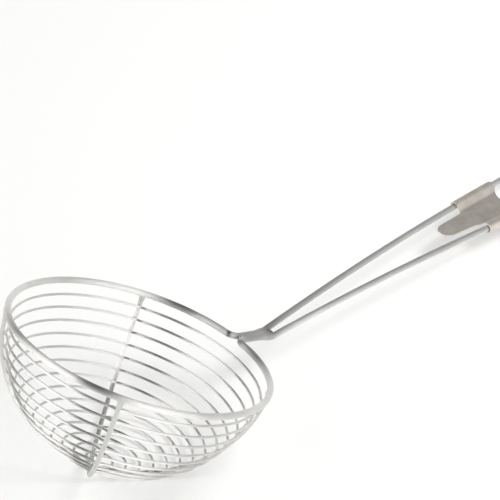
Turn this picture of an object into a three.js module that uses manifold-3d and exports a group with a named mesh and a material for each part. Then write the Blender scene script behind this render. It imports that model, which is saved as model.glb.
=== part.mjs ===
// Wire strainer spoon, lying as it does on a table: on its basket and on the end of its handle.
// The rim, the neck and the handle are one length of wire. Two crossed ribs hang under the rim
// and carry a half-round basket of closed rings. A pressed clip holds the handle wires apart.

import * as THREE from 'three';
import { mergeVertices } from 'three/addons/utils/BufferGeometryUtils.js';
import Module from 'manifold-3d';

// Driving dimensions, in millimetres and degrees

// Wires
const FRAME_WIRE = 2.5; // diameter of the rim and handle wire
const RIB_WIRE = 1.8; // diameter of the two ribs
const RING_WIRE = 1.0; // diameter of the basket rings
const WELD_GAP = 0.3; // clearance left where two wires are welded

// Basket
const BOWL_RADIUS = 50; // basket centre to the middle of the rim wire
const RING_COUNT = 14; // rings between the rim and the bottom
const RIB_FRONT_ANGLE = 47; // a rib's foot on the handle side, from the handle
const RIB_REAR_ANGLE = 139; // the same rib's foot on the far side, from the handle
const RIB_STEP_REACH = 9; // how far from the crossing the outer rib starts to step out

// Neck
const NECK_TURN_RADIUS = 4; // bend from the rim into the neck, at the middle of the wire
const NECK_LENGTH = 14.5; // from that bend to the corner where the handle turns up
const NECK_PARALLEL = 8; // stretch of neck where both wires lie side by side
const NECK_RISE = 4; // slope of the neck above the rim's plane

// Handle
const HANDLE_RISE = 29.2; // slope of the handle where it leaves the neck
const HANDLE_TURN_RADIUS = 6; // bend between the neck and the handle
const HANDLE_ARCH_RADIUS = 1000; // long downward curve of the handle
const HANDLE_ROOT_PITCH = 4.8; // between the middles of both wires at the neck's corner
const HANDLE_SPREAD = 3.7; // each handle wire's angle to the middle line
const HANDLE_LENGTH = 176; // from the neck's corner to the middle of the wire at the end loop

// Clip
const CLIP_DISTANCE = 110; // from the neck's corner to the clip's near edge
const CLIP_LENGTH = 22.5; // length of the channels rolled round the wires
const CLIP_SHEET = 0.5; // thickness of the sheet
const CLIP_CLEARANCE = 0.3; // between a channel and its wire
const CLIP_PANEL_DROP = 0.5; // middle of the flat panel's sheet below the wires' plane
const CLIP_CREASE_INSET = 3.8; // panel's crease, inwards from the middle of the wire
const CLIP_CROWN_FLAT = 1.2; // level strip on top of each channel
const CLIP_WRAP = 85; // how far a channel turns below the wire's outer side
const CLIP_HOLLOW_DEPTH = 3.2; // hollow in the clip's back edge
const CLIP_HOLLOW_INSET = 2.6; // the hollow's ends, inwards from the middle of the wire
const TONGUE_LENGTH = 17.2; // from the clip's near edge to the tongue's tip
const TONGUE_WIDTH = 7.8; // twice the radius of its round tip
const TONGUE_TAPER = 4; // each side's angle to the middle line
const TONGUE_ROOT_RADIUS = 2; // fillet between the tongue and the near edge

// Facets
const FRAME_SIDES = 10;
const RIB_SIDES = 8;
const RING_SIDES = 6;
const RIM_STEPS = 58;
const TURN_STEPS = 5;
const LEG_STEPS = 8;
const LOOP_STEPS = 13;
const RIB_STEPS = 48;
const RING_STEP_LENGTH = 5.5; // length of one facet along the larger rings
const RING_STEPS_LEAST = 16;
const CLIP_ARC_STEPS = 10;

const radians = THREE.MathUtils.degToRad;

// Bare metals: bright drawn wire and dull rolled sheet
const DRAWN_STEEL = { color: 0xcfcfcb, roughness: 0.25, metalness: 1 };
const ROLLED_STEEL = { color: 0x9d9a92, roughness: 0.42, metalness: 1 };

function piece(name, geometry, metal) {
  const mesh = new THREE.Mesh(geometry, new THREE.MeshStandardMaterial(metal));
  mesh.name = name;
  return mesh;
}

// Round wire laid through a row of points, with one station at each point
function wireThrough(points, diameter, sides) {
  const section = new THREE.Shape();
  const corners = Array.from({ length: sides }, (_, i) => (2 * Math.PI * i) / sides);
  section.setFromPoints(
    corners.map((turn) => new THREE.Vector2(Math.cos(turn), Math.sin(turn)).multiplyScalar(diameter / 2))
  );
  const path = new THREE.CatmullRomCurve3(points);
  path.getUtoTmapping = (u) => u;
  return new THREE.ExtrudeGeometry(section, { steps: points.length - 1, extrudePath: path });
}

// Values from one end to the other, both ends included
function spaced(from, to, steps) {
  return Array.from({ length: steps + 1 }, (_, i) => THREE.MathUtils.lerp(from, to, i / steps));
}

// Frame wire, plan view
// It is bent flat first: "along" runs from the rim's centre towards the handle's end, "across" is sideways.

const neckHalfPitch = (FRAME_WIRE + WELD_GAP) / 2;
const neckTurnAcross = neckHalfPitch + NECK_TURN_RADIUS;
const neckTurnAlong = Math.sqrt((BOWL_RADIUS + NECK_TURN_RADIUS) ** 2 - neckTurnAcross ** 2);
const rimEndAngle = Math.asin(neckTurnAcross / (BOWL_RADIUS + NECK_TURN_RADIUS));
const cornerAlong = neckTurnAlong + NECK_LENGTH;
const tipAlong = cornerAlong + HANDLE_LENGTH;

const spread = radians(HANDLE_SPREAD);
const partingAlong = neckTurnAlong + NECK_PARALLEL;
const rootHalfPitch = HANDLE_ROOT_PITCH / 2;

// The wires lie together along the neck, part before its corner and then spread evenly.
function legAcross(along) {
  if (along > cornerAlong) {
    return rootHalfPitch + (along - cornerAlong) * Math.tan(spread);
  }
  const parted = THREE.MathUtils.inverseLerp(partingAlong, cornerAlong, Math.max(along, partingAlong));
  return THREE.MathUtils.lerp(neckHalfPitch, rootHalfPitch, parted);
}

// The end loop touches both legs, so the spread and the length settle its radius.
const loopRadius = (legAcross(tipAlong) * Math.cos(spread)) / (1 + Math.sin(spread));
const loopAlong = tipAlong - loopRadius;
const legEndAlong = loopAlong - loopRadius * Math.sin(spread);

// Frame wire, side view
// The flat wire is then set up at the neck and arched along the handle.

const neckRise = radians(NECK_RISE);
const handleRise = radians(HANDLE_RISE);
const quarterTurn = Math.PI / 2;
const cornerTangent = HANDLE_TURN_RADIUS * Math.tan((handleRise - neckRise) / 2);
const bendStartAlong = cornerAlong - cornerTangent;
const bendEndAlong = bendStartAlong + HANDLE_TURN_RADIUS * (handleRise - neckRise);

function sideView() {
  const heading = (angle) => new THREE.Vector2(Math.cos(angle), Math.sin(angle));
  const leftOf = (angle) => heading(angle + quarterTurn);
  const neckStart = new THREE.Vector2(neckTurnAlong, 0);
  const bendStart = neckStart.clone().addScaledVector(heading(neckRise), bendStartAlong - neckTurnAlong);
  const bendCentre = bendStart.clone().addScaledVector(leftOf(neckRise), HANDLE_TURN_RADIUS);
  const bendEnd = bendCentre.clone().addScaledVector(leftOf(handleRise), -HANDLE_TURN_RADIUS);
  const archCentre = bendEnd.clone().addScaledVector(leftOf(handleRise), -HANDLE_ARCH_RADIUS);
  const archStart = handleRise + quarterTurn;
  const archTurn = (tipAlong + FRAME_WIRE - bendEndAlong) / HANDLE_ARCH_RADIUS;
  const view = new THREE.Path();
  view.moveTo(0, 0);
  view.lineTo(neckStart.x, neckStart.y);
  view.lineTo(bendStart.x, bendStart.y);
  view.absarc(
    bendCentre.x,
    bendCentre.y,
    HANDLE_TURN_RADIUS,
    neckRise - quarterTurn,
    handleRise - quarterTurn,
    false
  );
  view.absarc(archCentre.x, archCentre.y, HANDLE_ARCH_RADIUS, archStart, archStart - archTurn, true);
  return view;
}

const sideProfile = sideView();
const sideLength = sideProfile.getLength();

function onFrame(along, across) {
  const side = along > 0 ? sideProfile.getPoint(along / sideLength) : new THREE.Vector2(along, 0);
  return new THREE.Vector3(side.x, across, side.y);
}

function handleSlope(along) {
  return sideProfile.getTangent(along / sideLength).angle();
}

// The wire's two ends butt in the middle of the clip, inside its left channel.
const clipStartAlong = cornerAlong + CLIP_DISTANCE;
const clipMiddleAlong = clipStartAlong + CLIP_LENGTH / 2;

function frameWire() {
  const points = [];
  const add = (along, across) => points.push(onFrame(along, across));
  const leg = (stations, side) => stations.forEach((along) => add(along, side * legAcross(along)));
  const loopEnd = quarterTurn + spread;
  const rimTurn = 2 * Math.PI - rimEndAngle;
  const neckTurns = spaced(Math.PI + rimEndAngle, 1.5 * Math.PI, TURN_STEPS).slice(1);
  const neckStations = [partingAlong, ...spaced(bendStartAlong, bendEndAlong, TURN_STEPS)];
  const legStations = [...neckStations, ...spaced(bendEndAlong, legEndAlong, LEG_STEPS).slice(1, -1)];
  const neckTurn = (turn, side) =>
    add(
      neckTurnAlong + NECK_TURN_RADIUS * Math.cos(turn),
      side * (neckTurnAcross + NECK_TURN_RADIUS * Math.sin(turn))
    );

  leg([clipMiddleAlong + WELD_GAP / 2, clipStartAlong + CLIP_LENGTH], 1);
  spaced(loopEnd, -loopEnd, LOOP_STEPS).forEach((turn) =>
    add(loopAlong + loopRadius * Math.cos(turn), loopRadius * Math.sin(turn))
  );
  leg(legStations.toReversed(), -1);
  neckTurns.toReversed().forEach((turn) => neckTurn(turn, -1));
  spaced(rimTurn, rimEndAngle, RIM_STEPS).forEach((turn) =>
    add(BOWL_RADIUS * Math.cos(turn), BOWL_RADIUS * Math.sin(turn))
  );
  neckTurns.forEach((turn) => neckTurn(turn, 1));
  leg(legStations.filter((along) => along < clipStartAlong), 1);
  leg([clipStartAlong, clipMiddleAlong - WELD_GAP / 2], 1);
  return piece('frame_wire', wireThrough(points, FRAME_WIRE, FRAME_SIDES), DRAWN_STEEL);
}

// Ribs: half circles from the rim's underside to the rim's underside, on the basket's sphere.
// Each lies in an upright plane, and the outer one steps out to pass below the inner one.

function rimPoint(degrees) {
  const angle = radians(degrees);
  return new THREE.Vector3(Math.cos(angle), Math.sin(angle), 0).multiplyScalar(BOWL_RADIUS);
}

function rib(name, side, stepOut) {
  const front = rimPoint(side * RIB_FRONT_ANGLE);
  const rear = rimPoint(-side * RIB_REAR_ANGLE);
  const crossing = front.clone().lerp(rear, front.y / (front.y - rear.y));
  crossing.z = -Math.sqrt(BOWL_RADIUS ** 2 - crossing.x ** 2);
  const middle = front.clone().lerp(rear, 0.5);
  const radius = front.distanceTo(middle);
  const outwards = front.clone().sub(middle).normalize();
  const footTurn = Math.asin((FRAME_WIRE / 2 + WELD_GAP) / radius);
  const points = spaced(footTurn, Math.PI - footTurn, RIB_STEPS).map((turn) => {
    const point = middle.clone().addScaledVector(outwards, radius * Math.cos(turn));
    point.z = -radius * Math.sin(turn);
    const away = point.distanceTo(crossing);
    const step = stepOut * (1 - THREE.MathUtils.smoothstep(away, RIB_WIRE, RIB_STEP_REACH));
    return point.setLength(BOWL_RADIUS + step);
  });
  return piece(name, wireThrough(points, RIB_WIRE, RIB_SIDES), DRAWN_STEEL);
}

// Basket rings: closed rings parallel to the rim, evenly spaced round the basket's side,
// welded to the inner side of the ribs. A flat of each ring faces the handle.

const basketRadius = BOWL_RADIUS - (RIB_WIRE + RING_WIRE) / 2 - WELD_GAP;

function basketRing(number) {
  const drop = (quarterTurn * number) / (RING_COUNT + 1);
  const radius = basketRadius * Math.cos(drop);
  const steps = Math.max(RING_STEPS_LEAST, Math.round((2 * Math.PI * radius) / RING_STEP_LENGTH));
  const ring = new THREE.TorusGeometry(radius, RING_WIRE / 2, RING_SIDES, steps);
  const name = `basket_ring_${String(number).padStart(2, '0')}`;
  const mesh = piece(name, ring, DRAWN_STEEL);
  mesh.position.z = -basketRadius * Math.sin(drop);
  mesh.rotation.z = Math.PI / steps;
  return mesh;
}

// Handle clip: one pressing with a flat panel, a tongue towards the basket and a channel
// rolled round each wire. Its own frame has x along the handle, from the clip's near edge.

const wasm = await Module();
wasm.setup();

function solid(geometry) {
  const bare = geometry.clone();
  bare.deleteAttribute('normal');
  bare.deleteAttribute('uv');
  const merged = mergeVertices(bare);
  const vertProperties = new Float32Array(merged.attributes.position.array);
  const triVerts = new Uint32Array(merged.index.array);
  return new wasm.Manifold(new wasm.Mesh({ numProp: 3, vertProperties, triVerts }));
}

function geometryOf(manifold) {
  const mesh = manifold.getMesh();
  const geometry = new THREE.BufferGeometry();
  geometry.setAttribute('position', new THREE.BufferAttribute(mesh.vertProperties, 3));
  geometry.setIndex(new THREE.BufferAttribute(mesh.triVerts, 1));
  return geometry;
}

const channelBore = FRAME_WIRE / 2 + CLIP_CLEARANCE;
const channelOutside = channelBore + CLIP_SHEET;
const panelTop = CLIP_SHEET / 2 - CLIP_PANEL_DROP;
const panelUnder = panelTop - CLIP_SHEET;

// How far a line of the clip lies from the middle, by its inset from the middle of the wire
function clipAcross(x, inset) {
  return legAcross(clipStartAlong + x) - inset;
}

// Section of a channel: x outwards from the middle of the wire, y up
function channelSection() {
  const wrapEnd = -radians(CLIP_WRAP);
  const panelEdge = -CLIP_CREASE_INSET - CLIP_SHEET;
  const section = new THREE.Shape();
  section.moveTo(panelEdge, panelTop);
  section.lineTo(panelEdge, panelUnder);
  section.lineTo(-CLIP_CREASE_INSET, panelUnder);
  section.lineTo(-CLIP_CROWN_FLAT, channelBore);
  section.lineTo(0, channelBore);
  section.absarc(0, 0, channelBore, quarterTurn, wrapEnd, true);
  section.lineTo(channelOutside * Math.cos(wrapEnd), channelOutside * Math.sin(wrapEnd));
  section.absarc(0, 0, channelOutside, wrapEnd, quarterTurn, false);
  section.lineTo(-CLIP_CROWN_FLAT, channelOutside);
  section.lineTo(-CLIP_CREASE_INSET, panelTop);
  return section;
}

// Outline of the pressing seen from above, before its edges are rolled
function clipOutline(halfWidth) {
  const taper = radians(TONGUE_TAPER);
  const tipRadius = TONGUE_WIDTH / 2;
  const tipMiddle = tipRadius - TONGUE_LENGTH;
  const sideAtRoot = (tipRadius - tipMiddle * Math.sin(taper)) / Math.cos(taper);
  const rootMiddle = sideAtRoot + (TONGUE_ROOT_RADIUS * (1 - Math.sin(taper))) / Math.cos(taper);
  const hollowEnd = clipAcross(CLIP_LENGTH, CLIP_HOLLOW_INSET);
  const outline = new THREE.Shape();
  outline.moveTo(CLIP_LENGTH, -halfWidth);
  outline.lineTo(CLIP_LENGTH, -hollowEnd);
  outline.quadraticCurveTo(CLIP_LENGTH - 2 * CLIP_HOLLOW_DEPTH, 0, CLIP_LENGTH, hollowEnd);
  outline.lineTo(CLIP_LENGTH, halfWidth);
  outline.lineTo(0, halfWidth);
  outline.lineTo(0, rootMiddle);
  outline.absarc(-TONGUE_ROOT_RADIUS, rootMiddle, TONGUE_ROOT_RADIUS, 0, taper - quarterTurn, true);
  outline.absarc(tipMiddle, 0, tipRadius, quarterTurn + taper, 3 * quarterTurn - taper, false);
  outline.absarc(-TONGUE_ROOT_RADIUS, -rootMiddle, TONGUE_ROOT_RADIUS, quarterTurn - taper, 0, true);
  outline.lineTo(0, -halfWidth);
  return outline;
}

// One channel, longer than the clip at both ends, beside the wire on the given side
function channel(side) {
  const depth = 2 * CLIP_LENGTH;
  const geometry = new THREE.ExtrudeGeometry(channelSection(), {
    depth,
    bevelEnabled: false,
    curveSegments: CLIP_ARC_STEPS,
  });
  geometry.translate(0, 0, -depth / 2);
  const turn = side * spread;
  const forwards = new THREE.Vector3(Math.cos(turn), Math.sin(turn), 0).multiplyScalar(side);
  const up = new THREE.Vector3(0, 0, 1);
  const outwards = up.clone().cross(forwards);
  geometry.applyMatrix4(new THREE.Matrix4().makeBasis(outwards, up, forwards));
  geometry.translate(CLIP_LENGTH / 2, side * legAcross(clipMiddleAlong), 0);
  return solid(geometry);
}

// Flat sheet between the two creases, running on under the tongue
function panel() {
  const crease = (x) => clipAcross(x, CLIP_CREASE_INSET);
  const start = -TONGUE_LENGTH - CLIP_SHEET;
  const end = CLIP_LENGTH + CLIP_SHEET;
  const sheet = new THREE.Shape([
    new THREE.Vector2(start, -crease(start)),
    new THREE.Vector2(end, -crease(end)),
    new THREE.Vector2(end, crease(end)),
    new THREE.Vector2(start, crease(start)),
  ]);
  const geometry = new THREE.ExtrudeGeometry(sheet, { depth: CLIP_SHEET, bevelEnabled: false });
  return solid(geometry.translate(0, 0, panelUnder));
}

function handleClip() {
  const halfWidth = clipAcross(CLIP_LENGTH, -2 * channelOutside);
  const cutter = new THREE.ExtrudeGeometry(clipOutline(halfWidth), {
    depth: 4 * channelOutside,
    bevelEnabled: false,
    curveSegments: CLIP_ARC_STEPS,
  });
  cutter.translate(0, 0, -2 * channelOutside);
  const pressing = panel().add(channel(1)).add(channel(-1)).intersect(solid(cutter));
  const mesh = piece('handle_clip', geometryOf(pressing), ROLLED_STEEL);
  mesh.position.x = -CLIP_LENGTH / 2;
  return mesh;
}

function clipOnHandle() {
  const seat = new THREE.Group();
  seat.position.copy(onFrame(clipMiddleAlong, 0));
  seat.rotation.y = -handleSlope(clipMiddleAlong);
  seat.add(handleClip());
  return seat;
}

// Assembly, in the spoon's own frame: rim level, its centre at the origin, handle along +X
const spoon = new THREE.Group();
spoon.add(frameWire());
spoon.add(rib('inner_rib', 1, 0));
spoon.add(rib('outer_rib', -1, RIB_WIRE + WELD_GAP));
for (let number = 1; number <= RING_COUNT; number += 1) {
  spoon.add(basketRing(number));
}
spoon.add(clipOnHandle());

// Laid on a table: tipped towards the handle until the basket's rings and the end loop
// touch the same plane. The origin is under the middle of the spoon, on that plane.
const tip = onFrame(tipAlong, 0);
const basketReach = basketRadius + RING_WIRE / 2;
const tipDistance = Math.hypot(tip.x, tip.z);
spoon.rotation.y = Math.atan2(tip.z, tip.x) + Math.asin((basketReach - FRAME_WIRE / 2) / tipDistance);

const strainerSpoon = new THREE.Group();
strainerSpoon.add(spoon);
const box = new THREE.Box3().setFromObject(strainerSpoon, true);
const centre = box.getCenter(new THREE.Vector3());
spoon.position.set(-centre.x, -centre.y, -box.min.z);

export default strainerSpoon;
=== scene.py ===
import math

import bmesh
import bpy
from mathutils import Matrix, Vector


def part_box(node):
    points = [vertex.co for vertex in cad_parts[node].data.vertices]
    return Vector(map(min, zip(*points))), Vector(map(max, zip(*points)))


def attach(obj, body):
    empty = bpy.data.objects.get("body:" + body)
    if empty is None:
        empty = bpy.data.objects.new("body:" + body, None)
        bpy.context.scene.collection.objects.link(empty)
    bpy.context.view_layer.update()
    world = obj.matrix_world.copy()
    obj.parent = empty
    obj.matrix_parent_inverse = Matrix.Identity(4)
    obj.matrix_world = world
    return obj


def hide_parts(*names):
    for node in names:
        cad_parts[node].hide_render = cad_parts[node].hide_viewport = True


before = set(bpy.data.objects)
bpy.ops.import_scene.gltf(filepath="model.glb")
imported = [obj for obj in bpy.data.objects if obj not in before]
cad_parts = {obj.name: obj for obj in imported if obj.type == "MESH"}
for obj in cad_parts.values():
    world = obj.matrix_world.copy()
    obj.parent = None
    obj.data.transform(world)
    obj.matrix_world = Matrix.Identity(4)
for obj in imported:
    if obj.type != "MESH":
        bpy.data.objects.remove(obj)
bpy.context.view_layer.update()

# Frame wire
# The rim, the neck, both handle wires and the hanging loop are one length of bright stainless wire.
# It is bent flat first, then set up at the neck and arched. Its ends butt inside the handle clip.

FRAME_WIRE = 0.0025
FRAME_SIDES = 24
RIM_RADIUS = 0.050
RIM_STEPS = 110
NECK_GAP = 0.0003
NECK_TURN_RADIUS = 0.004
NECK_LENGTH = 0.0145
NECK_PARALLEL = 0.008
NECK_RISE = math.radians(4)
TURN_STEPS = 10
HANDLE_RISE = math.radians(29.2)
HANDLE_TURN_RADIUS = 0.006
HANDLE_ARCH_RADIUS = 1.0
HANDLE_ROOT_PITCH = 0.0048
HANDLE_SPREAD = math.radians(3.7)
PARTING_RADIUS = 0.008
HANDLE_LENGTH = 0.176
LEG_STEPS = 40
LOOP_STEPS = 24
SEAM = 1e-6
WIRE_SMOOTHING = math.radians(40)
UP = Vector((0, 0, 1))
QUARTER_TURN = math.pi / 2

neck_side = (FRAME_WIRE + NECK_GAP) / 2
neck_turn_side = neck_side + NECK_TURN_RADIUS
neck_turn_reach = RIM_RADIUS + NECK_TURN_RADIUS
rim_end = math.asin(neck_turn_side / neck_turn_reach)
neck_start = neck_turn_reach * math.cos(rim_end)
neck_corner = neck_start + NECK_LENGTH
corner_turn = HANDLE_RISE - NECK_RISE
corner_start = neck_corner - HANDLE_TURN_RADIUS * math.tan(corner_turn / 2)
corner_end = corner_start + HANDLE_TURN_RADIUS * corner_turn
handle_end = neck_corner + HANDLE_LENGTH


def handle_side(along):
    """How far a handle wire lies from the middle line, at a distance along the flat wire."""
    return HANDLE_ROOT_PITCH / 2 + (along - neck_corner) * math.tan(HANDLE_SPREAD)


# Two equal bends part the neck wires, and the second one ends on the line of the handle wire.
parting = neck_start + NECK_PARALLEL
parting_side = handle_side(parting) - neck_side
parting_turn = HANDLE_SPREAD + math.acos(
    (1 + math.cos(HANDLE_SPREAD) * (1 - parting_side / PARTING_RADIUS)) / 2
)
parting_end = parting + PARTING_RADIUS * (2 * math.sin(parting_turn) - math.sin(HANDLE_SPREAD))
parting_in = (parting, neck_side + PARTING_RADIUS, 0)
parting_out = (
    parting + 2 * PARTING_RADIUS * math.sin(parting_turn),
    neck_side + PARTING_RADIUS * (1 - 2 * math.cos(parting_turn)),
    0,
)

loop_radius = handle_side(handle_end) * math.cos(HANDLE_SPREAD) / (1 + math.sin(HANDLE_SPREAD))
loop_middle = handle_end - loop_radius
loop_start = loop_middle - loop_radius * math.sin(HANDLE_SPREAD)


def even_kinks(start, end, turn, steps):
    """Small equal kinks that share a turn between two stations, as (station, turn) from start to end."""
    step = (end - start) / steps
    return [(start + step * (i + 0.5), turn / steps) for i in range(steps)]


handle_kinks = (
    even_kinks(neck_start, neck_start + NECK_PARALLEL / TURN_STEPS, NECK_RISE, 1)
    + even_kinks(corner_start, corner_end, corner_turn, TURN_STEPS)
    + even_kinks(corner_end, handle_end, (corner_end - handle_end) / HANDLE_ARCH_RADIUS, LEG_STEPS)
)


def side_view(along):
    """Where the handle's middle line has come to at a distance along the wire, and its slope there."""
    place, slope, reached = Vector((0, 0, 0)), 0.0, 0.0
    for station, turn in handle_kinks:
        if station > along:
            break
        place += Vector((math.cos(slope), 0, math.sin(slope))) * (station - reached)
        slope += turn
        reached = station
    return place + Vector((math.cos(slope), 0, math.sin(slope))) * (along - reached), slope


def start_wire(name, width, sides, place, turn):
    """A new piece in edit mode: one round section of wire, open at both faces and selected."""
    bpy.ops.object.select_all(action="DESELECT")
    bpy.ops.mesh.primitive_circle_add(vertices=sides, radius=width / 2, location=place, rotation=turn)
    bpy.ops.object.transform_apply(location=True, rotation=True, scale=False)
    wire = bpy.context.object
    wire.name = name
    bpy.ops.object.mode_set(mode="EDIT")
    bpy.ops.mesh.select_all(action="SELECT")
    return wire


def bend(middle, axis, angle, steps):
    """Bends the wire on from its selected end, clockwise about the axis."""
    bpy.ops.mesh.spin(steps=steps, angle=angle, center=middle, axis=axis)


def feed(way, steps):
    """Runs the wire straight on from its selected end."""
    for _ in range(steps):
        bpy.ops.mesh.extrude_region_move(TRANSFORM_OT_translate={"value": Vector(way) / steps})


def feed_leg(start, end, steps):
    """Runs a handle wire on between two stations, at the angle that the handle spreads."""
    feed((end - start, (end - start) * math.tan(HANDLE_SPREAD), 0), steps)


def pick(test):
    """Selects the corners of the mesh being edited whose place passes a test."""
    bpy.ops.mesh.select_all(action="DESELECT")
    data = bpy.context.edit_object.data
    mesh = bmesh.from_edit_mesh(data)
    for corner in mesh.verts:
        if test(corner.co):
            corner.select_set(True)
    mesh.select_flush(True)
    bmesh.update_edit_mesh(data)


def set_up_on_handle(reach):
    """Bends the flat piece being edited up into the handle's side view, as far as the piece reaches."""
    for station, turn in reversed(handle_kinks):
        if station < reach:
            pick(lambda corner: corner.x > station)
            bpy.ops.transform.rotate(value=turn, orient_axis="Y", center_override=(station, 0, 0))


def map_drawn_lines(wire, width, sides, up):
    """Maps a wire the way it was drawn: u round its section and v along its length, in metres."""
    corners = [corner.co for corner in wire.data.vertices]
    sections = [corners[first : first + sides] for first in range(0, len(corners), sides)]
    middles = [sum(section, Vector()) / sides for section in sections]
    girth = math.pi * width
    length = 0.0
    places = []
    for i, section in enumerate(sections):
        before, after = middles[max(i - 1, 0)], middles[min(i + 1, len(middles) - 1)]
        beside = (after - before).cross(up).normalized()
        over = beside.cross(after - before).normalized()
        length += (middles[i] - before).length
        for corner in section:
            spoke = corner - middles[i]
            places.append((math.atan2(spoke.dot(over), spoke.dot(beside)) * width / 2, length))
    drawn = wire.data.uv_layers.new(name="drawn")
    for face in wire.data.polygons:
        first_u = places[face.vertices[0]][0]
        for loop, corner in zip(face.loop_indices, face.vertices):
            u, v = places[corner]
            drawn.data[loop].uv = (u - girth * round((u - first_u) / girth), v)


def close_wire(wire):
    """Joins the seams of a finished wire, turns its faces outwards and rounds its shading."""
    bpy.ops.object.select_all(action="DESELECT")
    wire.select_set(True)
    bpy.context.view_layer.objects.active = wire
    bpy.ops.object.mode_set(mode="EDIT")
    bpy.ops.mesh.select_all(action="SELECT")
    bpy.ops.mesh.remove_doubles(threshold=SEAM)
    bpy.ops.mesh.fill_holes(sides=0)
    bpy.ops.mesh.normals_make_consistent(inside=False)
    bpy.ops.object.mode_set(mode="OBJECT")
    bpy.ops.object.shade_smooth_by_angle(angle=WIRE_SMOOTHING)


frame_wire = start_wire(
    "bright_frame_wire", FRAME_WIRE, FRAME_SIDES, (-RIM_RADIUS, 0, 0), (QUARTER_TURN, 0, 0)
)
bend((0, 0, 0), UP, math.pi - rim_end, RIM_STEPS)
bend((neck_start, neck_turn_side, 0), UP, rim_end - QUARTER_TURN, TURN_STEPS)
feed((NECK_PARALLEL, 0, 0), TURN_STEPS)
bend(parting_in, UP, -parting_turn, TURN_STEPS)
bend(parting_out, UP, parting_turn - HANDLE_SPREAD, TURN_STEPS)
feed_leg(parting_end, corner_start, 1)
feed_leg(corner_start, corner_end, TURN_STEPS)
feed_leg(corner_end, loop_start, LEG_STEPS)
bend((loop_middle, 0, 0), UP, QUARTER_TURN + HANDLE_SPREAD, LOOP_STEPS)
set_up_on_handle(handle_end)
bpy.ops.object.mode_set(mode="OBJECT")
map_drawn_lines(frame_wire, FRAME_WIRE, FRAME_SIDES, UP)
bpy.ops.object.modifier_add(type="MIRROR")
frame_wire.modifiers["Mirror"].use_axis = (False, True, False)
frame_wire.modifiers["Mirror"].merge_threshold = SEAM
bpy.ops.object.modifier_apply(modifier="Mirror")
close_wire(frame_wire)

# The spoon lies on its basket and on its loop: both touch the table.
RING_WIRE = 0.0010
RIB_WIRE = 0.0018
WELD_GAP = 0.0003
basket_radius = RIM_RADIUS - (RIB_WIRE + RING_WIRE) / 2 - WELD_GAP
basket_reach = basket_radius + RING_WIRE / 2
loop_tip = side_view(handle_end)[0]
tip_drop = math.asin((basket_reach - FRAME_WIRE / 2) / loop_tip.length)
rest_tilt = math.atan2(loop_tip.z, loop_tip.x) + tip_drop
basket_middle = Vector((
    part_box("frame_wire")[0].x + RIM_RADIUS * math.cos(rest_tilt) + FRAME_WIRE / 2,
    0,
    basket_reach,
))


def lay_on_table(piece):
    """Turns a piece from the spoon's own frame, with its rim level, to where it lies on the table."""
    bpy.ops.object.select_all(action="DESELECT")
    piece.select_set(True)
    bpy.context.view_layer.objects.active = piece
    piece.rotation_euler = (0, rest_tilt, 0)
    piece.location = basket_middle
    bpy.ops.object.transform_apply(location=True, rotation=True, scale=False)


DRAWN_LINES_PER_METRE = (9000, 120, 1)
DRAWN_LINE_DEPTH = 0.00002
DRAWN_LINE_STRENGTH = 0.10
PICKLING_CLOUDS_PER_METRE = 140.0


def drawn_steel(name, pale, deep, smooth, rough):
    """Bright drawn stainless wire: fine lines along it, and a clouded sheen from the pickling bath.

    The lines spread its gloss round the wire and keep it sharp along the wire.
    """
    material = bpy.data.materials.new(name)
    material.use_nodes = True
    nodes, links = material.node_tree.nodes, material.node_tree.links
    shader = nodes["Principled BSDF"]
    shader.inputs["Metallic"].default_value = 1.0

    drawn = nodes.new("ShaderNodeUVMap")
    drawn.uv_map = "drawn"
    stretch = nodes.new("ShaderNodeMapping")
    stretch.inputs["Scale"].default_value = DRAWN_LINES_PER_METRE
    lines = nodes.new("ShaderNodeTexNoise")
    lines.inputs["Scale"].default_value = 1.0
    lines.inputs["Detail"].default_value = 3.0
    links.new(drawn.outputs["UV"], stretch.inputs["Vector"])
    links.new(stretch.outputs["Vector"], lines.inputs["Vector"])

    gloss = nodes.new("ShaderNodeMapRange")
    gloss.inputs["From Min"].default_value = 0.3
    gloss.inputs["From Max"].default_value = 0.7
    gloss.inputs["To Min"].default_value = smooth
    gloss.inputs["To Max"].default_value = rough
    links.new(lines.outputs["Fac"], gloss.inputs["Value"])
    links.new(gloss.outputs["Result"], shader.inputs["Roughness"])
    shader.inputs["Anisotropic"].default_value = 1.0
    round_wire = nodes.new("ShaderNodeTangent")
    round_wire.direction_type = "UV_MAP"
    round_wire.uv_map = "drawn"
    links.new(round_wire.outputs["Tangent"], shader.inputs["Tangent"])
    scratch = nodes.new("ShaderNodeBump")
    scratch.inputs["Strength"].default_value = DRAWN_LINE_STRENGTH
    scratch.inputs["Distance"].default_value = DRAWN_LINE_DEPTH
    links.new(lines.outputs["Fac"], scratch.inputs["Height"])
    links.new(scratch.outputs["Normal"], shader.inputs["Normal"])

    place = nodes.new("ShaderNodeTexCoord")
    cloud = nodes.new("ShaderNodeTexNoise")
    cloud.inputs["Scale"].default_value = PICKLING_CLOUDS_PER_METRE
    cloud.inputs["Detail"].default_value = 4.0
    tone = nodes.new("ShaderNodeValToRGB")
    tone.color_ramp.elements[0].position = 0.3
    tone.color_ramp.elements[0].color = (*deep, 1)
    tone.color_ramp.elements[1].position = 0.7
    tone.color_ramp.elements[1].color = (*pale, 1)
    links.new(place.outputs["Object"], cloud.inputs["Vector"])
    links.new(cloud.outputs["Fac"], tone.inputs["Fac"])
    links.new(tone.outputs["Color"], shader.inputs["Base Color"])
    return material


lay_on_table(frame_wire)
frame_wire.data.materials.append(
    drawn_steel("frame_wire_steel", (0.88, 0.875, 0.855), (0.80, 0.79, 0.77), 0.40, 0.52)
)
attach(frame_wire, "root")
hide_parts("frame_wire")

# Neck weld
# A bead of fused steel fills the groove between the two neck wires and the fork where they part.
# It was laid in short ripples, and the heat left it dull.

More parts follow.
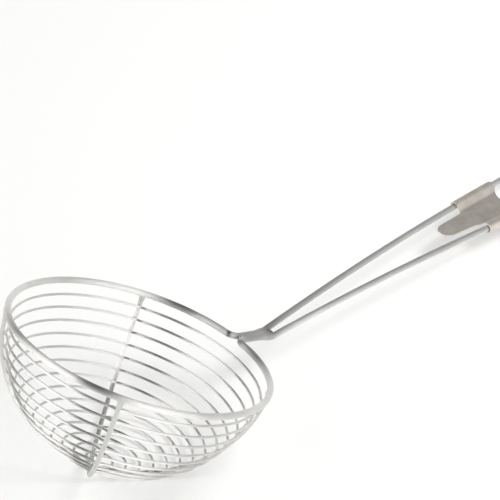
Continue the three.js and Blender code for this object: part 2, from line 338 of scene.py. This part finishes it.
WELD_HEIGHT = 0.00106
WELD_BITE = 0.0009
WELD_RIPPLE = 0.0008
WELD_RIPPLE_DEPTH = 0.94
WELD_OVERRUN = 0.0012
WELD_RUNOUT = 0.0016
WELD_END = 0.55
WELD_DARKENING_NEAR = 0.012
WELD_DARKENING_FAR = 0.026
WELD_DARKENING = 0.66


def weld_side(along):
    """Half the weld's width, which bites into both wires and widens with the gap between them."""
    parted = max(along - parting, 0) / (neck_corner - parting)
    wire_side = neck_side + (HANDLE_ROOT_PITCH / 2 - neck_side) * parted
    return wire_side - FRAME_WIRE / 2 + WELD_BITE


weld_start = neck_start - WELD_OVERRUN
weld_ripples = round((neck_corner + WELD_RUNOUT - weld_start) / WELD_RIPPLE)
weld_stations = [weld_start + WELD_RIPPLE / 2 * i for i in range(2 * weld_ripples + 1)]
neck_weld = start_wire(
    "neck_weld", 2 * WELD_HEIGHT, FRAME_SIDES, (weld_start, 0, 0), (0, QUARTER_TURN, 0)
)
for i, along in enumerate(weld_stations):
    at_end = i in (0, len(weld_stations) - 1)
    fullness = WELD_END if at_end else 1 if i % 2 else WELD_RIPPLE_DEPTH
    width, height = weld_side(along) / WELD_HEIGHT * fullness, fullness
    bpy.ops.transform.resize(value=(1, width, height), center_override=(along, 0, 0))
    if i < len(weld_stations) - 1:
        feed((WELD_RIPPLE / 2, 0, 0), 1)
        bpy.ops.transform.resize(value=(1, 1 / width, 1 / height), center_override=(along, 0, 0))
set_up_on_handle(weld_stations[-1])
bpy.ops.object.mode_set(mode="OBJECT")
map_drawn_lines(neck_weld, 2 * WELD_HEIGHT, FRAME_SIDES, UP)
close_wire(neck_weld)
lay_on_table(neck_weld)
neck_weld.data.materials.append(
    drawn_steel("weld_steel", (0.62, 0.605, 0.575), (0.50, 0.485, 0.46), 0.34, 0.50)
)
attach(neck_weld, "root")

# The frame wire's colour is made darker close to where the weld starts, and this fades out further off.
nodes, links = frame_wire.active_material.node_tree.nodes, frame_wire.active_material.node_tree.links
place = nodes.new("ShaderNodeTexCoord")
from_weld = nodes.new("ShaderNodeVectorMath")
from_weld.operation = "DISTANCE"
from_weld.inputs[1].default_value = basket_middle + neck_start * Vector(
    (math.cos(rest_tilt), 0, -math.sin(rest_tilt))
)
darkening = nodes.new("ShaderNodeMapRange")
darkening.inputs["From Min"].default_value = WELD_DARKENING_NEAR
darkening.inputs["From Max"].default_value = WELD_DARKENING_FAR
darkening.inputs["To Min"].default_value = WELD_DARKENING
darkening.inputs["To Max"].default_value = 1.0
darkened = nodes.new("ShaderNodeVectorMath")
darkened.operation = "SCALE"
links.new(place.outputs["Object"], from_weld.inputs[0])
links.new(from_weld.outputs["Value"], darkening.inputs["Value"])
links.new(nodes["Color Ramp"].outputs["Color"], darkened.inputs["Vector"])
links.new(darkening.outputs["Result"], darkened.inputs["Scale"])
links.new(darkened.outputs["Vector"], nodes["Principled BSDF"].inputs["Base Color"])

# Ribs
# Two half circles of thinner wire hang under the rim and cross below the basket.
# Their ends are welded to the rim's underside, and the outer rib steps out to pass the inner one.

RIB_SIDES = 18
RIB_STEPS = 150
RIB_FRONT_ANGLE = math.radians(47)
RIB_REAR_ANGLE = math.radians(139)
RIB_STEP_REACH = 0.009
FOOT_DEPTH = 0.0006
FOOT_FLARE = 0.00045
FOOT_REACH = 0.0022


def rim_point(angle):
    """A point of the rim's middle line, by its angle from the handle."""
    return Vector((math.cos(angle), math.sin(angle), 0)) * RIM_RADIUS


def rib_feet(side):
    """Both ends of a rib on the rim: the one on the handle side first."""
    return rim_point(side * RIB_FRONT_ANGLE), rim_point(-side * RIB_REAR_ANGLE)


def near(point, reach):
    """A test for corners within reach of a point."""
    return lambda corner: (corner - point).length < reach


def make_rib(name, side, step_out):
    """One rib, from its foot on the handle side to its far foot, flared where it is welded."""
    front, rear = rib_feet(side)
    middle = (front + rear) / 2
    reach = (front - middle).length
    outwards = (front - middle).normalized()
    axis = outwards.cross(UP)
    foot_turn = math.asin(FOOT_DEPTH / reach)
    foot = middle + reach * (math.cos(foot_turn) * outwards - math.sin(foot_turn) * UP)
    heading = math.atan2(outwards.y, outwards.x)
    rib = start_wire(name, RIB_WIRE, RIB_SIDES, foot, (0, foot_turn, heading))
    bend(middle, axis, math.pi - 2 * foot_turn, RIB_STEPS)
    if step_out:
        crossing = front.lerp(rear, front.y / (front.y - rear.y))
        crossing.z = -math.sqrt(RIM_RADIUS**2 - crossing.x**2)
        pick(near(crossing, RIB_WIRE))
        bpy.ops.transform.translate(
            value=crossing.normalized() * step_out,
            use_proportional_edit=True,
            proportional_edit_falloff="SMOOTH",
            proportional_size=RIB_STEP_REACH,
        )
    bpy.ops.object.mode_set(mode="OBJECT")
    map_drawn_lines(rib, RIB_WIRE, RIB_SIDES, axis)
    close_wire(rib)
    bpy.ops.object.mode_set(mode="EDIT")
    for end in (front, rear):
        pick(near(end, FOOT_REACH))
        bpy.ops.transform.shrink_fatten(
            value=FOOT_FLARE,
            use_proportional_edit=True,
            proportional_edit_falloff="SHARP",
            proportional_size=FOOT_REACH,
        )
    bpy.ops.object.mode_set(mode="OBJECT")
    lay_on_table(rib)
    return rib


rib_steel = drawn_steel("rib_steel", (0.87, 0.865, 0.845), (0.78, 0.77, 0.75), 0.40, 0.54)
for node, side, step_out in (("inner_rib", 1, 0), ("outer_rib", -1, RIB_WIRE + WELD_GAP)):
    rib = make_rib("bright_" + node, side, step_out)
    rib.data.materials.append(rib_steel)
    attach(rib, "root")
    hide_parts(node)

# Basket rings
# Closed rings of thin wire, evenly spaced round the half sphere and parallel to the rim.
# Each is butt-welded shut and pressed against the inner side of the ribs as it is spot-welded there.

RING_COUNT = 14
RING_SIDES = 12
RING_STEP = 0.0008
RING_STEPS_LEAST = 72
BUTT_ANGLE = math.radians(60)
BUTT_BEAD = 0.00010
BUTT_REACH = 0.0005
SET_DOWN = 0.00045
SET_DOWN_REACH = 0.0024


def rib_welds(radius, height):
    """Where the ribs' middle lines pass a ring of this radius at this height."""
    welds = []
    for side in (1, -1):
        front, rear = rib_feet(side)
        square = (rear - front).cross(UP).normalized()
        heading = math.atan2(square.y, square.x)
        swing = math.acos(square.dot(front) / radius)
        for angle in (heading + swing, heading - swing):
            welds.append(Vector((radius * math.cos(angle), radius * math.sin(angle), height)))
    return welds


def make_ring(name, radius, height):
    """One basket ring, with the bead of its butt weld and a slight set-down at each rib."""
    butt = Vector((radius * math.cos(BUTT_ANGLE), radius * math.sin(BUTT_ANGLE), height))
    steps = max(RING_STEPS_LEAST, round(2 * math.pi * radius / RING_STEP))
    ring = start_wire(name, RING_WIRE, RING_SIDES, butt, (QUARTER_TURN, 0, BUTT_ANGLE))
    bend((0, 0, height), UP, 2 * math.pi, steps)
    bpy.ops.object.mode_set(mode="OBJECT")
    map_drawn_lines(ring, RING_WIRE, RING_SIDES, UP)
    close_wire(ring)
    bpy.ops.object.mode_set(mode="EDIT")
    pick(near(butt, RING_WIRE))
    bpy.ops.transform.shrink_fatten(
        value=BUTT_BEAD,
        use_proportional_edit=True,
        proportional_edit_falloff="SMOOTH",
        proportional_size=BUTT_REACH,
    )
    for weld in rib_welds(radius, height):
        pick(near(weld, RING_WIRE))
        bpy.ops.transform.translate(
            value=weld.normalized() * SET_DOWN,
            use_proportional_edit=True,
            proportional_edit_falloff="SMOOTH",
            proportional_size=SET_DOWN_REACH,
        )
    bpy.ops.object.mode_set(mode="OBJECT")
    lay_on_table(ring)
    return ring


ring_steel = drawn_steel("ring_steel", (0.89, 0.885, 0.865), (0.81, 0.80, 0.78), 0.40, 0.54)
for number in range(1, RING_COUNT + 1):
    drop = QUARTER_TURN * number / (RING_COUNT + 1)
    ring = make_ring(
        f"bright_ring_{number:02d}", basket_radius * math.cos(drop), -basket_radius * math.sin(drop)
    )
    ring.data.materials.append(ring_steel)
    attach(ring, "root")
    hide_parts(f"basket_ring_{number:02d}")

# Handle clip
# A pressing of dull rolled stainless sheet. Its flat panel sends a round tongue towards the basket,
# and its long edges are rolled round the handle wires.

CLIP_DISTANCE = 0.110
CLIP_LENGTH = 0.0225
CLIP_SHEET = 0.0005
CLIP_CLEARANCE = 0.0003
CLIP_PANEL_DROP = 0.0005
CLIP_CREASE_INSET = 0.0038
CLIP_CREASE_SOFTNESS = 0.0006
CLIP_CREASE_STEPS = 4
CLIP_CROWN_FLAT = 0.0012
CLIP_WRAP = math.radians(85)
CLIP_ROLL_STEPS = 22
CLIP_HOLLOW_DEPTH = 0.0032
CLIP_HOLLOW_INSET = 0.0026
CLIP_EDGE_ROUND = 0.00012
CLIP_EDGE_STEPS = 3
CLIP_SHARP_ANGLE = math.radians(45)
CLIP_SMOOTHING = math.radians(35)
TONGUE_LENGTH = 0.0172
TONGUE_WIDTH = 0.0078
TONGUE_TAPER = math.radians(4)
TONGUE_ROOT_RADIUS = 0.002
TONGUE_ROOT_STEPS = 8
TONGUE_TIP_CORNERS = round(2 * math.pi / TONGUE_TAPER)
CUT_HEIGHT = 0.010

clip_near = neck_corner + CLIP_DISTANCE
clip_middle = clip_near + CLIP_LENGTH / 2
roll_radius = FRAME_WIRE / 2 + CLIP_CLEARANCE + CLIP_SHEET / 2
blank_start = -TONGUE_LENGTH - CLIP_SHEET
blank_end = CLIP_LENGTH + CLIP_SHEET
blank_length = blank_end - blank_start


def crease_side(x):
    """How far a crease of the panel lies from the middle line, at a place on the clip."""
    return handle_side(clip_near + x) - CLIP_CREASE_INSET


def pick_edges(test):
    """Selects the edges of the mesh being edited whose two ends pass a test."""
    bpy.ops.mesh.select_all(action="DESELECT")
    bpy.ops.mesh.select_mode(type="EDGE")
    data = bpy.context.edit_object.data
    for edge in bmesh.from_edit_mesh(data).edges:
        if test(edge.verts[0].co, edge.verts[1].co):
            edge.select_set(True)
    bmesh.update_edit_mesh(data)


bpy.ops.object.select_all(action="DESELECT")
bpy.ops.mesh.primitive_plane_add(size=1, location=((blank_start + blank_end) / 2, 0, -CLIP_PANEL_DROP))
handle_clip = bpy.context.object
handle_clip.name = "pressed_handle_clip"
handle_clip.scale = (blank_length, 2 * crease_side(blank_start), 1)
bpy.ops.object.transform_apply(location=True, rotation=False, scale=True)
bpy.ops.object.mode_set(mode="EDIT")
pick(lambda corner: corner.x > 0)
bpy.ops.transform.resize(
    value=(1, crease_side(blank_end) / crease_side(blank_start), 1),
    center_override=(blank_end, 0, -CLIP_PANEL_DROP),
)
for side in (1, -1):
    beside = Vector((-math.sin(HANDLE_SPREAD), side * math.cos(HANDLE_SPREAD), 0))
    to_crown = beside * (CLIP_CREASE_INSET - CLIP_CROWN_FLAT) + UP * (roll_radius + CLIP_PANEL_DROP)
    wire_middle = (0, side * handle_side(clip_near), 0)
    pick(lambda corner: corner.y * side > 0 and corner.z < roll_radius)
    bpy.ops.mesh.extrude_region_move(TRANSFORM_OT_translate={"value": to_crown})
    bpy.ops.mesh.extrude_region_move(TRANSFORM_OT_translate={"value": beside * CLIP_CROWN_FLAT})
    bend(wire_middle, beside.cross(UP), QUARTER_TURN + CLIP_WRAP, CLIP_ROLL_STEPS)


def is_crease(one, other):
    """An edge along the handle, at the panel's crease or where a channel's crown starts."""
    across = abs((one + other).y) / 2
    middle_crease = crease_side((one + other).x / 2)
    crown_start = middle_crease + CLIP_CREASE_INSET - CLIP_CROWN_FLAT
    lengthwise = abs(one.x - other.x) > blank_length / 2
    at_bend = min(abs(across - middle_crease), abs(across - crown_start)) < CLIP_SHEET / 4
    return lengthwise and at_bend


pick_edges(is_crease)
bpy.ops.mesh.bevel(offset=CLIP_CREASE_SOFTNESS, segments=CLIP_CREASE_STEPS, affect="EDGES")
bpy.ops.mesh.select_mode(type="VERT")
bpy.ops.mesh.select_all(action="SELECT")
bpy.ops.mesh.normals_make_consistent(inside=False)
bpy.ops.object.mode_set(mode="OBJECT")
bpy.ops.object.modifier_add(type="SOLIDIFY")
handle_clip.modifiers["Solidify"].thickness = CLIP_SHEET
handle_clip.modifiers["Solidify"].offset = 0
handle_clip.modifiers["Solidify"].use_even_offset = True
bpy.ops.object.modifier_apply(modifier="Solidify")

# The blanking cut: the tongue's round tip and fillets, and the hollow in the back edge
tip_radius = TONGUE_WIDTH / 2
tip_middle = tip_radius - TONGUE_LENGTH
tip_end = Vector((tip_middle - tip_radius * math.sin(TONGUE_TAPER), tip_radius * math.cos(TONGUE_TAPER), 0))
side_at_root = (tip_radius - tip_middle * math.sin(TONGUE_TAPER)) / math.cos(TONGUE_TAPER)
root_side = side_at_root + TONGUE_ROOT_RADIUS * (1 - math.sin(TONGUE_TAPER)) / math.cos(TONGUE_TAPER)
root_start = Vector((
    TONGUE_ROOT_RADIUS * (math.sin(TONGUE_TAPER) - 1),
    root_side - TONGUE_ROOT_RADIUS * math.cos(TONGUE_TAPER),
    0,
))
cut_side = handle_side(clip_near + CLIP_LENGTH) + 3 * roll_radius
hollow_side = handle_side(clip_near + CLIP_LENGTH) - CLIP_HOLLOW_INSET
hollow_radius = (hollow_side**2 + CLIP_HOLLOW_DEPTH**2) / (2 * CLIP_HOLLOW_DEPTH)
hollow_middle = CLIP_LENGTH - CLIP_HOLLOW_DEPTH + hollow_radius
bpy.ops.object.select_all(action="DESELECT")
bpy.ops.mesh.primitive_circle_add(
    vertices=TONGUE_TIP_CORNERS, radius=tip_radius, location=(tip_middle, 0, -CUT_HEIGHT / 2)
)
bpy.ops.object.transform_apply(location=True, rotation=False, scale=False)
blanking_cut = bpy.context.object
bpy.ops.object.mode_set(mode="EDIT")
pick(lambda corner: corner.x > tip_end.x + SEAM)
bpy.ops.mesh.delete(type="VERT")
for side in (1, -1):
    pick(lambda corner: corner.x > tip_end.x - SEAM and corner.y * side > 0)
    feed(((root_start - tip_end).x, side * (root_start - tip_end).y, 0), 1)
    root_turn = QUARTER_TURN - TONGUE_TAPER
    bend((-TONGUE_ROOT_RADIUS, side * root_side, 0), UP * -side, root_turn, TONGUE_ROOT_STEPS)
    feed((0, side * (cut_side - root_side), 0), 1)
    feed((CLIP_LENGTH, 0, 0), 1)
    feed((0, side * (hollow_side - cut_side), 0), 1)
    hollow_turn = math.asin(hollow_side / hollow_radius)
    bend((hollow_middle, 0, 0), UP * -side, hollow_turn, CLIP_ROLL_STEPS)
bpy.ops.mesh.select_all(action="SELECT")
bpy.ops.mesh.remove_doubles(threshold=SEAM)
bpy.ops.mesh.edge_face_add()
bpy.ops.mesh.extrude_region_move(TRANSFORM_OT_translate={"value": (0, 0, CUT_HEIGHT)})
bpy.ops.mesh.select_all(action="SELECT")
bpy.ops.mesh.normals_make_consistent(inside=False)
bpy.ops.object.mode_set(mode="OBJECT")

bpy.ops.object.select_all(action="DESELECT")
handle_clip.select_set(True)
bpy.context.view_layer.objects.active = handle_clip
bpy.ops.object.modifier_add(type="BOOLEAN")
handle_clip.modifiers["Boolean"].operation = "INTERSECT"
handle_clip.modifiers["Boolean"].object = blanking_cut
bpy.ops.object.modifier_apply(modifier="Boolean")
bpy.data.objects.remove(blanking_cut)
bpy.ops.object.modifier_add(type="BEVEL")
handle_clip.modifiers["Bevel"].width = CLIP_EDGE_ROUND
handle_clip.modifiers["Bevel"].segments = CLIP_EDGE_STEPS
handle_clip.modifiers["Bevel"].limit_method = "ANGLE"
handle_clip.modifiers["Bevel"].angle_limit = CLIP_SHARP_ANGLE
bpy.ops.object.modifier_apply(modifier="Bevel")
bpy.ops.object.shade_smooth_by_angle(angle=CLIP_SMOOTHING)

clip_seat, clip_slope = side_view(clip_middle)
handle_clip.rotation_euler = (0, -clip_slope, 0)
handle_clip.location = clip_seat - CLIP_LENGTH / 2 * Vector((math.cos(clip_slope), 0, math.sin(clip_slope)))
bpy.ops.object.transform_apply(location=True, rotation=True, scale=False)
lay_on_table(handle_clip)

ROLLED_GRAIN_PER_METRE = (150, 6000, 6000)
ROLLED_GRAIN_DEPTH = 0.00002
ROLLED_GRAIN_STRENGTH = 0.3
STAINS_PER_METRE = 220.0


def rolled_steel(name, pale, deep, smooth, rough, tilt):
    """Dull rolled stainless sheet: the mill's fine grain along it, and faint stains."""
    material = bpy.data.materials.new(name)
    material.use_nodes = True
    nodes, links = material.node_tree.nodes, material.node_tree.links
    shader = nodes["Principled BSDF"]
    shader.inputs["Metallic"].default_value = 1.0

    place = nodes.new("ShaderNodeTexCoord")
    along = nodes.new("ShaderNodeMapping")
    along.inputs["Rotation"].default_value = (0, -tilt, 0)
    along.inputs["Scale"].default_value = ROLLED_GRAIN_PER_METRE
    grain = nodes.new("ShaderNodeTexNoise")
    grain.inputs["Scale"].default_value = 1.0
    grain.inputs["Detail"].default_value = 3.0
    links.new(place.outputs["Object"], along.inputs["Vector"])
    links.new(along.outputs["Vector"], grain.inputs["Vector"])

    gloss = nodes.new("ShaderNodeMapRange")
    gloss.inputs["From Min"].default_value = 0.3
    gloss.inputs["From Max"].default_value = 0.7
    gloss.inputs["To Min"].default_value = smooth
    gloss.inputs["To Max"].default_value = rough
    links.new(grain.outputs["Fac"], gloss.inputs["Value"])
    links.new(gloss.outputs["Result"], shader.inputs["Roughness"])
    relief = nodes.new("ShaderNodeBump")
    relief.inputs["Strength"].default_value = ROLLED_GRAIN_STRENGTH
    relief.inputs["Distance"].default_value = ROLLED_GRAIN_DEPTH
    links.new(grain.outputs["Fac"], relief.inputs["Height"])
    links.new(relief.outputs["Normal"], shader.inputs["Normal"])

    stain = nodes.new("ShaderNodeTexNoise")
    stain.inputs["Scale"].default_value = STAINS_PER_METRE
    stain.inputs["Detail"].default_value = 5.0
    tone = nodes.new("ShaderNodeValToRGB")
    tone.color_ramp.elements[0].position = 0.35
    tone.color_ramp.elements[0].color = (*deep, 1)
    tone.color_ramp.elements[1].position = 0.65
    tone.color_ramp.elements[1].color = (*pale, 1)
    links.new(place.outputs["Object"], stain.inputs["Vector"])
    links.new(stain.outputs["Fac"], tone.inputs["Fac"])
    links.new(tone.outputs["Color"], shader.inputs["Base Color"])
    return material


handle_clip.data.materials.append(
    rolled_steel(
        "clip_steel", (0.72, 0.685, 0.63), (0.63, 0.595, 0.545), 0.62, 0.78, rest_tilt - clip_slope
    )
)
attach(handle_clip, "root")
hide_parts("handle_clip")

# Table
# A plain white sheet that runs out of view on all sides. It keeps a faint shadow round the spoon,
# and further off it turns as white as the room behind it.

TABLE_SIZE = 8.0
TABLE_CLEARANCE = 0.0001
TABLE_WHITE = (0.72, 0.72, 0.71, 1)
SHADOW_REACH = 0.4
WHITE_REACH = 1.4
NEAR_GLOW = 0.36
GLOW_WHITE = (1, 1, 0.99, 1)

bpy.ops.object.select_all(action="DESELECT")
bpy.ops.mesh.primitive_plane_add(size=TABLE_SIZE, location=(0, 0, -TABLE_CLEARANCE))
table = bpy.context.object
table.name = "table"
paper = bpy.data.materials.new("white_paper")
paper.use_nodes = True
nodes, links = paper.node_tree.nodes, paper.node_tree.links
nodes.remove(nodes["Principled BSDF"])
lit = nodes.new("ShaderNodeBsdfDiffuse")
lit.inputs["Color"].default_value = TABLE_WHITE
glow = nodes.new("ShaderNodeEmission")
glow.inputs["Color"].default_value = GLOW_WHITE
rays = nodes.new("ShaderNodeLightPath")
seen = nodes.new("ShaderNodeMath")
seen.operation = "MAXIMUM"
seen_through = nodes.new("ShaderNodeMath")
seen_through.operation = "MAXIMUM"
place = nodes.new("ShaderNodeTexCoord")
from_spoon = nodes.new("ShaderNodeVectorMath")
from_spoon.operation = "LENGTH"
whiteness = nodes.new("ShaderNodeMapRange")
whiteness.interpolation_type = "SMOOTHSTEP"
whiteness.inputs["From Min"].default_value = SHADOW_REACH
whiteness.inputs["From Max"].default_value = WHITE_REACH
whiteness.inputs["To Min"].default_value = NEAR_GLOW
whiteness.inputs["To Max"].default_value = 1.0
share = nodes.new("ShaderNodeMath")
share.operation = "MULTIPLY"
paper_mix = nodes.new("ShaderNodeMixShader")
links.new(rays.outputs["Is Camera Ray"], seen.inputs[0])
links.new(rays.outputs["Is Glossy Ray"], seen.inputs[1])
links.new(seen.outputs["Value"], seen_through.inputs[0])
links.new(rays.outputs["Is Transmission Ray"], seen_through.inputs[1])
links.new(place.outputs["Object"], from_spoon.inputs[0])
links.new(from_spoon.outputs["Value"], whiteness.inputs["Value"])
links.new(seen_through.outputs["Value"], share.inputs[0])
links.new(whiteness.outputs["Result"], share.inputs[1])
links.new(share.outputs["Value"], paper_mix.inputs["Fac"])
links.new(lit.outputs["BSDF"], paper_mix.inputs[1])
links.new(glow.outputs["Emission"], paper_mix.inputs[2])
links.new(paper_mix.outputs["Shader"], nodes["Material Output"].inputs["Surface"])
table.data.materials.append(paper)

# Light
# Three tall soft boxes at the table's edge: beside the camera, behind the basket and past the handle.
# The room around is pale near the table and dim overhead, and a small lamp there lights the table only.

SOFTBOX_DISTANCE = TABLE_SIZE / 2
TABLE_LAMP_PLACE = Vector((0.48, -0.46, 0.95))
TABLE_LAMP_SIZE = 0.5
TABLE_LAMP_WATTS = 10
ROOM_WHITE = (1, 1, 1, 1)
ROOM_PALE = 1.25
ROOM_DIM = 0.06
ROOM_FADE = 3.5

world = bpy.data.worlds.new("studio")
bpy.context.scene.world = world
world.use_nodes = True
nodes, links = world.node_tree.nodes, world.node_tree.links
room = nodes["Background"]
room.inputs["Color"].default_value = ROOM_WHITE
white = nodes.new("ShaderNodeBackground")
white.inputs["Color"].default_value = ROOM_WHITE
direction = nodes.new("ShaderNodeTexCoord")
height = nodes.new("ShaderNodeSeparateXYZ")
lowness = nodes.new("ShaderNodeMath")
lowness.operation = "SUBTRACT"
lowness.use_clamp = True
lowness.inputs[0].default_value = 1.0
fade = nodes.new("ShaderNodeMath")
fade.operation = "POWER"
fade.inputs[1].default_value = ROOM_FADE
strength = nodes.new("ShaderNodeMapRange")
strength.inputs["To Min"].default_value = ROOM_DIM
strength.inputs["To Max"].default_value = ROOM_PALE
rays = nodes.new("ShaderNodeLightPath")
room_mix = nodes.new("ShaderNodeMixShader")
links.new(direction.outputs["Generated"], height.inputs["Vector"])
links.new(height.outputs["Z"], lowness.inputs[1])
links.new(lowness.outputs["Value"], fade.inputs[0])
links.new(fade.outputs["Value"], strength.inputs["Value"])
links.new(strength.outputs["Result"], room.inputs["Strength"])
links.new(rays.outputs["Is Camera Ray"], room_mix.inputs["Fac"])
links.new(room.outputs["Background"], room_mix.inputs[1])
links.new(white.outputs["Background"], room_mix.inputs[2])
links.new(room_mix.outputs["Shader"], nodes["World Output"].inputs["Surface"])

for name, azimuth, half_angle, bottom_angle, top_angle, watts in (
    ("front_softbox", -96, 33, 0, 68, 312),
    ("rear_softbox", 149, 37, 12, 68, 400),
    ("end_softbox", -20, 25, 18, 68, 64),
):
    away = Vector((math.cos(math.radians(azimuth)), math.sin(math.radians(azimuth)), 0))
    box_width = 2 * SOFTBOX_DISTANCE * math.tan(math.radians(half_angle))
    box_bottom = SOFTBOX_DISTANCE * math.tan(math.radians(bottom_angle))
    box_top = SOFTBOX_DISTANCE * math.tan(math.radians(top_angle))
    box_middle = away * SOFTBOX_DISTANCE + UP * (box_bottom + box_top) / 2
    bpy.ops.object.light_add(type="AREA", location=box_middle)
    softbox = bpy.context.object
    softbox.name = name
    softbox.rotation_euler = (-away).to_track_quat("-Z", "Y").to_euler()
    softbox.data.shape = "RECTANGLE"
    softbox.data.size = box_width
    softbox.data.size_y = box_top - box_bottom
    softbox.data.energy = watts

bpy.ops.object.light_add(type="AREA", location=TABLE_LAMP_PLACE)
table_lamp = bpy.context.object
table_lamp.name = "table_lamp"
table_lamp.rotation_euler = TABLE_LAMP_PLACE.to_track_quat("Z", "Y").to_euler()
table_lamp.data.size = TABLE_LAMP_SIZE
table_lamp.data.energy = TABLE_LAMP_WATTS
table_lamp.visible_glossy = False

# Camera
# It looks down on the spoon from the basket's side, a long lens from nearly a metre away.

CAMERA_AIM = Vector((-0.0473, -0.0088, 0.0722))
CAMERA_AZIMUTH = math.radians(-129.01)
CAMERA_ELEVATION = math.radians(40.58)
CAMERA_DISTANCE = 0.872
CAMERA_ROLL = math.radians(-3.24)
CAMERA_LENS = 172.8
CAMERA_SENSOR = 36

camera_data = bpy.data.cameras.new("camera")
camera_data.lens = CAMERA_LENS
camera_data.sensor_width = CAMERA_SENSOR
camera = bpy.data.objects.new("camera", camera_data)
bpy.context.scene.collection.objects.link(camera)
back = Vector((
    math.cos(CAMERA_ELEVATION) * math.cos(CAMERA_AZIMUTH),
    math.cos(CAMERA_ELEVATION) * math.sin(CAMERA_AZIMUTH),
    math.sin(CAMERA_ELEVATION),
))
camera.location = CAMERA_AIM + back * CAMERA_DISTANCE
camera.rotation_euler = back.to_track_quat("Z", "Y").to_euler()
camera.rotation_euler.rotate_axis("Z", CAMERA_ROLL)
bpy.context.scene.camera = camera
bpy.context.scene.view_settings.view_transform = "Standard"
